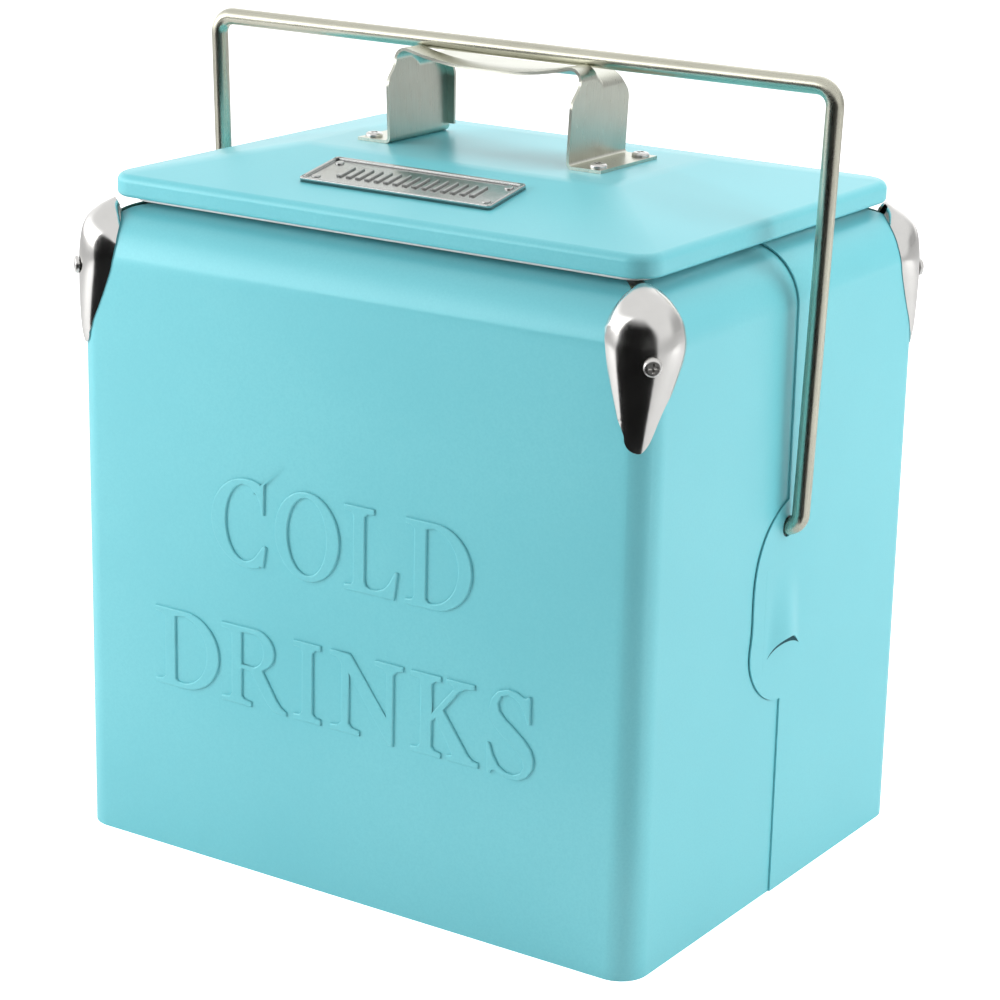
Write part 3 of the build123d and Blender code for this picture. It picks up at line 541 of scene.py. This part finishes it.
def pressed_letter(name, outlines):
    curve = bpy.data.curves.new(name, "CURVE")
    curve.dimensions = "2D"
    curve.fill_mode = "BOTH"
    curve.extrude = PRESS_SINK * MM
    curve.bevel_depth = PRESS_HIGH * MM
    curve.bevel_resolution = 4
    curve.offset = -PRESS_HIGH * 0.75 * MM
    for points in outlines:
        if (Vector(points[0]) - Vector(points[-1])).length < 0.05:
            points = points[:-1]
        spline = curve.splines.new("POLY")
        spline.points.add(len(points) - 1)
        for point, (x, z) in zip(spline.points, points):
            point.co = (x * MM, z * MM, 0, 1)
        spline.use_cyclic_u = True
    drawn = bpy.data.objects.new(name + "_curve", curve)
    scene.collection.objects.link(drawn)
    bpy.context.view_layer.update()
    mesh = bpy.data.meshes.new_from_object(drawn.evaluated_get(bpy.context.evaluated_depsgraph_get()))
    bpy.data.objects.remove(drawn)
    b = bmesh.new()
    b.from_mesh(mesh)
    bmesh.ops.remove_doubles(b, verts=b.verts, dist=0.000005)
    bmesh.ops.rotate(b, matrix=Matrix.Rotation(math.radians(90), 3, "X"), verts=b.verts)
    bmesh.ops.translate(b, vec=(0, FACE_Y * MM, 0), verts=b.verts)
    under = [v for v in b.verts if v.co.y > (FACE_Y + PRESS_KEPT) * MM]
    bmesh.ops.delete(b, geom=under, context="VERTS")
    for face in b.faces:
        face.smooth = True
    b.to_mesh(mesh)
    b.free()
    obj = bpy.data.objects.new("pressed_" + name, mesh)
    scene.collection.objects.link(obj)
    even_normals(obj)
    return obj


for name, outlines in letter_outlines().items():
    finished(pressed_letter(name, outlines), coat, "chest", "paint")

# ------------------------------------------------------------ lid
# Pressed steel lid: a short skirt with a soft edge, four very flat slopes up
# to a level top, and all of its creases eased.
LID_X, LID_Y, LID_CORNER = 153.3, 118.4, 13.4
SKIRT_LOW, SKIRT_HIGH, LID_HIGH = 325.4, 336.0, 349.3
FLAT_X, FLAT_Y = 89.0, 47.0
LID_SHEET = 0.8
CURL, CURL_RING = 2.6, 3.4
TOP_EASE, SHOULDER_EASE = 5.0, 3.4


def level_edges(b, height, tolerance=0.2):
    """Edges lying at one height in millimetres."""
    return [e for e in b.edges if all(abs(v.co.z - height * MM) < tolerance * MM for v in e.verts)]


def lid_sheet():
    b = bmesh.new()
    bmesh.ops.create_cube(b, size=1)
    bmesh.ops.scale(b, vec=(2 * LID_X * MM, 2 * LID_Y * MM, (SKIRT_HIGH - SKIRT_LOW) * MM), verts=b.verts)
    bmesh.ops.translate(b, vec=(0, 0, (SKIRT_HIGH + SKIRT_LOW) / 2 * MM), verts=b.verts)
    upright = [e for e in b.edges if abs(e.verts[0].co.z - e.verts[1].co.z) > MM]
    eased(b, upright, LID_CORNER * MM, 10)
    top = max(b.faces, key=lambda f: f.calc_center_median().z)
    grown = bmesh.ops.extrude_face_region(b, geom=[top])
    bmesh.ops.delete(b, geom=[top], context="FACES_ONLY")
    raised = [v for v in grown["geom"] if isinstance(v, bmesh.types.BMVert)]
    bmesh.ops.scale(b, vec=(FLAT_X / LID_X, FLAT_Y / LID_Y, 1), verts=raised)
    bmesh.ops.translate(b, vec=(0, 0, (LID_HIGH - SKIRT_HIGH) * MM), verts=raised)
    low_face = min(b.faces, key=lambda f: f.calc_center_median().z)
    bmesh.ops.inset_region(b, faces=[low_face], thickness=CURL_RING * MM, use_even_offset=True)
    low_rim = [e for e in level_edges(b, SKIRT_LOW) if any(abs(f.normal.z) < 0.5 for f in e.link_faces)]
    bmesh.ops.delete(b, geom=[low_face], context="FACES_ONLY")
    eased(b, low_rim, CURL * MM, 6)
    eased(b, level_edges(b, LID_HIGH), TOP_EASE * MM, 4, clamped=True)
    eased(b, level_edges(b, SKIRT_HIGH), SHOULDER_EASE * MM, 7, clamped=True)
    bmesh.ops.recalc_face_normals(b, faces=b.faces)
    for face in b.faces:
        face.smooth = True
    obj = made_object("lid_sheet", b)
    wall = obj.modifiers.new("sheet_steel", "SOLIDIFY")
    wall.thickness = LID_SHEET * MM
    wall.offset = -1
    even_normals(obj)
    return obj


finished(lid_sheet(), coat, "lid", "paint", "lid_shell")

# ------------------------------------------------------------ liner tub and lid liner
# Moulded white plastic with a soft gloss; its rim shows as a thin strip
# under the lid.
def moulded_plastic():
    mat, add, _, place = new_finish("white_moulding")
    flow = add("ShaderNodeTexNoise", {"Vector": place, "Scale": 22.0, "Detail": 3.0, "Roughness": 0.5})
    mottled(mat, flow.outputs[0], (0.3, 0.7), (0.80, 0.81, 0.80), (0.86, 0.87, 0.86))
    grain = add("ShaderNodeTexNoise", {"Vector": place, "Scale": 700.0, "Detail": 2.0, "Roughness": 0.5})
    roughened(mat, grain.outputs[0], (0.3, 0.7), 0.28, 0.36)
    textured(mat, grain.outputs[0], 0.06, 0.0001)
    return mat


white = moulded_plastic()
finished(smooth_copy("liner_tub", "tub_moulding"), white, "chest", "liner", "liner_tub")
finished(smooth_copy("lid_liner", "lid_moulding"), white, "lid", "liner", "lid_liner")

# ------------------------------------------------------------ foam
# Rigid insulating foam fills the space between sheet and liner, pale
# yellow with a fine broken grain where it was cut.
def rigid_foam():
    mat, add, shader, place = new_finish("insulating_foam")
    cells = add("ShaderNodeTexVoronoi", {"Vector": place, "Scale": 650.0})
    mottled(mat, cells.outputs["Distance"], (0.0, 0.8), (0.66, 0.60, 0.38), (0.78, 0.72, 0.50))
    shader.inputs["Roughness"].default_value = 0.95
    textured(mat, cells.outputs["Distance"], 0.5, 0.0004)
    return mat


foam = rigid_foam()
for node in ("foam_floor", "foam_front", "foam_rear", "foam_left", "foam_right", "lid_foam"):
    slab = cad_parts[node]
    slab.data.materials.clear()
    slab.data.materials.append(foam)

# ------------------------------------------------------------ gasket
# A soft light grey rubber strip pressed on to the lid's liner.
def soft_rubber():
    mat, add, shader, place = new_finish("grey_rubber")
    dust = add("ShaderNodeTexNoise", {"Vector": place, "Scale": 160.0, "Detail": 3.0, "Roughness": 0.6})
    mottled(mat, dust.outputs[0], (0.3, 0.7), (0.46, 0.46, 0.45), (0.56, 0.56, 0.55))
    shader.inputs["Roughness"].default_value = 0.7
    textured(mat, dust.outputs[0], 0.2, 0.0002)
    return mat


finished(smooth_copy("lid_gasket", "gasket_strip"), soft_rubber(), "lid", "seal", "lid_gasket")

# ------------------------------------------------------------ base pan, pivot plates and nuts
# Zinc plated steel: the pan closes the bottom, the plates behind the shells
# carry the bail's ends, and square nuts hold the screws.
def zinc_plate():
    mat, add, shader, place = new_finish("zinc_plated_steel")
    spangle = add("ShaderNodeTexVoronoi", {"Vector": place, "Scale": 120.0})
    mottled(mat, spangle.outputs["Distance"], (0.0, 0.9), (0.42, 0.43, 0.44), (0.56, 0.57, 0.57))
    shader.inputs["Metallic"].default_value = 1.0
    roughened(mat, spangle.outputs["Distance"], (0.0, 0.9), 0.42, 0.6)
    return mat


zinc = zinc_plate()
for node, name in (
    ("base_pan", "bottom_pan"), ("pivot_plate_left", "left_pivot_plate"),
    ("pivot_plate_right", "right_pivot_plate"), ("guard_nuts", "square_guard_nuts"),
):
    finished(smooth_copy(node, name), zinc, "chest", "zinc", node)
finished(smooth_copy("handle_nuts", "square_handle_nuts"), zinc, "lid", "zinc", "handle_nuts")

# ------------------------------------------------------------ corner guards and screws
# Polished pressings over the four top corners, each held by one
# cross-recess screw.
def polished_metal(name, smooth, coarse):
    mat, add, shader, place = new_finish(name)
    buff = add("ShaderNodeTexNoise", {"Vector": place, "Scale": 60.0, "Detail": 4.0, "Roughness": 0.6})
    roughened(mat, buff.outputs[0], (0.3, 0.7), smooth, coarse)
    mottled(mat, buff.outputs[0], (0.3, 0.7), (0.74, 0.73, 0.71), (0.80, 0.79, 0.77))
    shader.inputs["Metallic"].default_value = 1.0
    textured(mat, buff.outputs[0], 0.03, 0.0003)
    return mat


polished = polished_metal("polished_pressing", 0.13, 0.20)
HALF_LONG, HALF_WIDE, PLAN_ROUND = 165.0, 131.0, 14.6
SIDE_MIDDLE, SIDE_HALF, SHOULDER_ROUND = 200, 123.0, 28.0
CORNER = Vector((HALF_LONG, -HALF_WIDE, 0.0))
OUTWARD = Vector((math.sqrt(0.5), -math.sqrt(0.5), 0.0))
SIDEWAYS = Vector((-math.sqrt(0.5), -math.sqrt(0.5), 0.0))
STATIONS = [    # out from the square corner, height, lean, half width, depth at that width
    (-6.9, 249.0, 0.0, 5.6, 1.8), (-5.3, 254.0, 0.0, 6.8, 2.5), (-4.3, 259.0, 0.0, 8.3, 4.4),
    (-3.7, 266.0, 0.0, 10.2, 6.6), (-3.4, 275.0, 0.0, 13.0, 9.6), (-3.3, 284.5, 0.0, 15.8, 12.5),
    (-3.4, 293.0, 1.0, 18.0, 14.6), (-3.8, 300.5, 6.0, 18.8, 15.6), (-5.2, 309.4, 20.0, 18.2, 15.8),
    (-8.1, 315.6, 37.0, 17.4, 15.2), (-13.8, 320.6, 52.0, 15.4, 13.4), (-18.4, 323.2, 59.0, 11.6, 10.2),
    (-21.4, 324.6, 62.0, 5.4, 4.9),
]
TIP_LOW, TIP_ROUND = 251.9, 6.9
BLANK_WIDE, BLANK_TAPER = 26, 41.2
SKIRT_RUN, CLEAR, GUARD_WALL = 7.0, 0.4, 1.2
SCREW_HIGH, TOP_HIGH, TURNED, TOP_HELD = 291.5, 322.0, 6.5, 1.15
GUARD_COLUMNS, GUARD_ROWS, ROWS_TO_TIP = 48, 90, 1.25
FEEL_STEP = 0.4


def station_at(t):
    """Guard's section at a place along its spine, eased between stations."""
    i = min(int(t), len(STATIONS) - 2)
    t -= i
    here, ahead = STATIONS[i], STATIONS[i + 1]
    before = STATIONS[i - 1] if i else [2 * p - q for p, q in zip(here, ahead)]
    after = STATIONS[i + 2] if i + 2 < len(STATIONS) else [2 * q - p for p, q in zip(here, ahead)]
    return [
        m1 + 0.5 * t * (m2 - m0 + (2 * m0 - 5 * m1 + 4 * m2 - m3) * t + (3 * m1 - m0 - 3 * m2 + m3) * t * t)
        for m0, m1, m2, m3 in zip(before, here, ahead, after)
    ]


def round_box(px, py, half_x, half_y, radius):
    """Distance outside a rounded rectangle."""
    dx, dy = abs(px) - half_x + radius, abs(py) - half_y + radius
    return math.hypot(max(dx, 0), max(dy, 0)) + min(max(dx, dy), 0) - radius


def off_chest(point):
    """How far a point stands off the shells."""
    x, y, z = point
    plan = round_box(x, y, HALF_LONG, HALF_WIDE, PLAN_ROUND)
    end = round_box(y, z - SIDE_MIDDLE, HALF_WIDE, SIDE_HALF, SHOULDER_ROUND)
    face = round_box(x, z - SIDE_MIDDLE, HALF_LONG, SIDE_HALF, SHOULDER_ROUND)
    return max(plan, end, face)


def inside_outline(point):
    """Whether a point lies within the blank's tapering outline."""
    across = abs((point - CORNER).dot(SIDEWAYS))
    above = point.z - TIP_LOW
    if above < 0:
        return False
    if above < TIP_ROUND:
        return across <= math.sqrt(TIP_ROUND**2 - (TIP_ROUND - above) ** 2)
    return across <= TIP_ROUND + (BLANK_WIDE - TIP_ROUND) * min((above - TIP_ROUND) / BLANK_TAPER, 1.0)


def guard_point(station, along):
    """Point on one section: over the arc first, then down the straight side."""
    out, height, lean, half, depth = station
    radius = (half * half + depth * depth) / (2 * depth)
    widest = 2 * math.atan2(depth, half)
    angle = min(abs(along) / radius, widest)
    drop = radius * (1 - math.cos(angle)) + max(abs(along) - radius * widest, 0.0)
    across = math.copysign(radius * math.sin(angle), along)
    a = math.radians(lean)
    local_out = OUTWARD * math.cos(a) + Vector((0, 0, math.sin(a)))
    return CORNER + OUTWARD * out + Vector((0, 0, height)) + SIDEWAYS * across - local_out * drop


def guard_sheet(name, mirror_x, mirror_y, turned):
    pivot = CORNER + Vector((0, 0, SCREW_HIGH))

    def placed(station, along):
        """The turn fades out above the screw, where the lid's shoulder holds the top straight."""
        fade = min(max((station[1] - SCREW_HIGH) / (TOP_HIGH - SCREW_HIGH), 0.0), 1.0)
        turn = Matrix.Rotation(math.radians(-turned * (1 - TOP_HELD * fade)), 3, OUTWARD)
        return turn @ (guard_point(station, along) - pivot) + pivot

    def reach(station, way):
        """Longest run over one side before the sheet meets the chest or its outline."""
        half, depth = station[3:]
        longest = 2 * math.atan2(depth, half) * (half * half + depth * depth) / (2 * depth) + SKIRT_RUN
        good, bad = 0.0, longest
        for _ in range(120):
            step = good + FEEL_STEP
            flat = guard_point(station, way * step)
            if not inside_outline(flat) or off_chest(placed(station, way * step)) < CLEAR or step > longest:
                bad = step
                break
            good = step
        for _ in range(12):
            middle = (good + bad) / 2
            flat = guard_point(station, way * middle)
            if inside_outline(flat) and off_chest(placed(station, way * middle)) >= CLEAR:
                good = middle
            else:
                bad = middle
        return good

    low, high = 0.0, 2.0
    for _ in range(30):
        middle = (low + high) / 2
        if station_at(middle)[1] < TIP_LOW + 0.01:
            low = middle
        else:
            high = middle
    b = bmesh.new()
    bmesh.ops.create_grid(b, x_segments=GUARD_COLUMNS, y_segments=GUARD_ROWS, size=0.5)
    spans = {}
    for v in b.verts:
        up, across = v.co.y + 0.5, 2 * v.co.x
        key = round(up * GUARD_ROWS)
        if key not in spans:
            station = station_at(high + (len(STATIONS) - 1 - high) * up**ROWS_TO_TIP)
            spans[key] = (station, reach(station, 1), reach(station, -1))
        station, side_one, side_two = spans[key]
        run = across * (side_one if across > 0 else side_two)
        x, y, z = placed(station, run)
        v.co = (x * MM * mirror_x, y * MM * mirror_y, z * MM)
    bmesh.ops.remove_doubles(b, verts=b.verts, dist=0.00001)
    bmesh.ops.recalc_face_normals(b, faces=b.faces)
    nose = max(b.faces, key=lambda f: abs(f.calc_center_median().x) + abs(f.calc_center_median().y))
    if nose.normal.dot(Vector((mirror_x, -mirror_y, 0))) < 0:
        bmesh.ops.reverse_faces(b, faces=b.faces)
    for face in b.faces:
        face.smooth = True
    obj = made_object(name, b)
    wall = obj.modifiers.new("pressed_sheet", "SOLIDIFY")
    wall.thickness = GUARD_WALL * MM
    wall.offset = -1
    edge = obj.modifiers.new("broken_edge", "BEVEL")
    edge.width = 0.3 * MM
    edge.segments = 2
    edge.angle_limit = math.radians(50)
    edge.harden_normals = True
    return obj


for corner, mirror_x, mirror_y, turned in (
    ("front_right", 1, 1, TURNED), ("front_left", -1, 1, 0),
    ("rear_right", 1, -1, 0), ("rear_left", -1, -1, 0),
):
    pressing = guard_sheet(corner + "_guard", mirror_x, mirror_y, turned)
    finished(pressing, polished, "chest", "guard", "corner_guard_" + corner)
screw_metal = polished_metal("screw_metal", 0.26, 0.34)
finished(smooth_copy("guard_screws", "guard_pan_screws"), screw_metal, "chest", "guard", "guard_screws")
finished(smooth_copy("handle_screws", "handle_pan_screws"), screw_metal, "lid", "guard", "handle_screws")

# ------------------------------------------------------------ lid handle
# One strip of stainless steel bent into a bridge, its grain running up the
# legs and along the top, with turned-in rear edges.
GRAIN_FINE, GRAIN_LONG = 1500, 45


def brushed_steel(name, bar_height, dark, light, smooth, coarse):
    """Warm grey steel; its grain runs up the legs and, above the given height, along the bar."""
    mat, add, shader, place = new_finish(name)
    upward_grain = add("ShaderNodeMapping", {"Vector": place, "Scale": (GRAIN_FINE, GRAIN_FINE, GRAIN_LONG)})
    along_grain = add("ShaderNodeMapping", {"Vector": place, "Scale": (GRAIN_LONG, GRAIN_FINE, GRAIN_FINE)})
    height = add("ShaderNodeSeparateXYZ", {0: place})
    on_bar = add("ShaderNodeMath", {0: height.outputs[2], 1: bar_height}, operation="GREATER_THAN")
    pick = add("ShaderNodeMix", {0: on_bar.outputs[0]}, data_type="VECTOR")
    mat.node_tree.links.new(upward_grain.outputs[0], pick.inputs[4])
    mat.node_tree.links.new(along_grain.outputs[0], pick.inputs[5])
    brushing = {"Vector": pick.outputs[1], "Scale": 1.0, "Detail": 3.0, "Roughness": 0.65}
    grain = add("ShaderNodeTexNoise", brushing)
    cloudy = add("ShaderNodeTexNoise", {"Vector": place, "Scale": 35.0, "Detail": 2.0, "Roughness": 0.5})
    mixed = add("ShaderNodeMath", {0: grain.outputs[0], 1: cloudy.outputs[0]}, operation="ADD")
    mottled(mat, mixed.outputs[0], (0.7, 1.3), dark, light)
    shader.inputs["Metallic"].default_value = 1.0
    roughened(mat, grain.outputs[0], (0.3, 0.7), smooth, coarse)
    textured(mat, grain.outputs[0], 0.12, 0.0001)
    return mat


handle_steel = brushed_steel(
    "brushed_strap", bar_height=0.388, dark=(0.60, 0.61, 0.53), light=(0.71, 0.72, 0.64),
    smooth=0.26, coarse=0.38,
)
finished(smooth_copy("lid_handle", "strap_handle", 40), handle_steel, "lid", "steel", "lid_handle")

# ------------------------------------------------------------ bail
# Round stainless rod bent into a wide hoop; its inward ends turn in the
# plates behind the shells.
bail_steel = brushed_steel(
    "brushed_rod", bar_height=0.391, dark=(0.55, 0.54, 0.45), light=(0.68, 0.67, 0.56),
    smooth=0.24, coarse=0.33,
)
finished(smooth_copy("bail", "hoop_bail", 60), bail_steel, "bail", "steel", "bail")

# ------------------------------------------------------------ name plate
# Die-cast plate on the front slope, riveted at its corners, with a raised
# border round a darkened field of upright ribs.
def cast_metal(name, dark, light):
    mat, add, shader, place = new_finish(name)
    grain = add("ShaderNodeTexNoise", {"Vector": place, "Scale": 600.0, "Detail": 2.0, "Roughness": 0.6})
    mottled(mat, grain.outputs[0], (0.3, 0.7), dark, light)
    shader.inputs["Metallic"].default_value = 1.0
    roughened(mat, grain.outputs[0], (0.3, 0.7), 0.17, 0.24)
    return mat


casting = cast_metal("satin_casting", (0.50, 0.51, 0.50), (0.56, 0.57, 0.56))
dark_casting = cast_metal("darkened_casting", (0.10, 0.105, 0.10), (0.13, 0.135, 0.13))
PLATE_WIDE, PLATE_HIGH, PLATE_THICK, PLATE_DEEP = 109.0, 31.0, 2.4, 1.1
PLATE_Y, PLATE_LIFT = -79.0, 0.05
PLATE_CORNER, BORDER_WIDE, BORDER_EASE = 1.8, 1.9, 0.55
RIBS, RIB_PITCH, RIB_WIDE, RIB_LONG = 15, 5.4, 2.7, 12.0
RIB_ROOT, RIB_BELOW, RIB_EASE = 0.2, 0.1, 0.35
slope = math.atan2(LID_HIGH - SKIRT_HIGH, LID_Y - FLAT_Y)
slope_z = SKIRT_HIGH + (PLATE_Y + LID_Y) * math.tan(slope)


def on_slope(b):
    """Turns millimetres laid flat into place on the lid's front slope."""
    bmesh.ops.translate(b, vec=(0, 0, PLATE_LIFT), verts=b.verts)
    bmesh.ops.rotate(b, matrix=Matrix.Rotation(slope, 3, "X"), verts=b.verts)
    bmesh.ops.translate(b, vec=(0, PLATE_Y, slope_z), verts=b.verts)
    bmesh.ops.scale(b, vec=(MM, MM, MM), verts=b.verts)


def eased_block(b, wide, long, low, high, at_x, ease):
    made = bmesh.ops.create_cube(b, size=1)["verts"]
    bmesh.ops.scale(b, vec=(wide, long, high - low), verts=made)
    bmesh.ops.translate(b, vec=(at_x, 0, (low + high) / 2), verts=made)
    top = [e for e in b.edges if all(v in made and v.co.z > high - 0.01 for v in e.verts)]
    eased(b, top, ease, 3)


def cast_name_plate():
    b = bmesh.new()
    bmesh.ops.create_cube(b, size=1)
    bmesh.ops.scale(b, vec=(PLATE_WIDE, PLATE_HIGH, PLATE_THICK), verts=b.verts)
    bmesh.ops.translate(b, vec=(0, 0, PLATE_THICK / 2), verts=b.verts)
    upright = [e for e in b.edges if abs(e.verts[0].co.z - e.verts[1].co.z) > 1]
    eased(b, upright, PLATE_CORNER, 5)
    top = max(b.faces, key=lambda f: f.calc_center_median().z)
    bmesh.ops.inset_region(b, faces=[top], thickness=BORDER_WIDE, use_even_offset=True)
    field = max(b.faces, key=lambda f: f.calc_area() if f.normal.z > 0.9 else 0)
    sunk = bmesh.ops.extrude_face_region(b, geom=[field])
    bmesh.ops.delete(b, geom=[field], context="FACES_ONLY")
    low_verts = [v for v in sunk["geom"] if isinstance(v, bmesh.types.BMVert)]
    bmesh.ops.translate(b, vec=(0, 0, -PLATE_DEEP), verts=low_verts)
    rims = [
        e for e in b.edges
        if all(abs(v.co.z - PLATE_THICK) < 0.01 for v in e.verts) and e.calc_face_angle(0) > 0.5
    ]
    eased(b, rims, BORDER_EASE, 3)
    b.normal_update()
    for face in b.faces:
        if abs(face.normal.z) > 0.9 and 0.5 < face.calc_center_median().z < PLATE_THICK - 0.5:
            face.material_index = 1
        face.smooth = True
    rib_low, rib_high = PLATE_THICK - PLATE_DEEP - RIB_ROOT, PLATE_THICK - RIB_BELOW
    for i in range(RIBS):
        eased_block(b, RIB_WIDE, RIB_LONG, rib_low, rib_high, (i - RIBS // 2) * RIB_PITCH, RIB_EASE)
    bmesh.ops.recalc_face_normals(b, faces=b.faces)
    on_slope(b)
    obj = made_object("cast_name_plate", b)
    even_normals(obj)
    return obj


name_plate = finished(cast_name_plate(), casting, "lid", "plate", "name_plate")
name_plate.data.materials.append(dark_casting)
finished(smooth_copy("plate_rivets", "round_rivets"), casting, "lid", "plate", "plate_rivets")
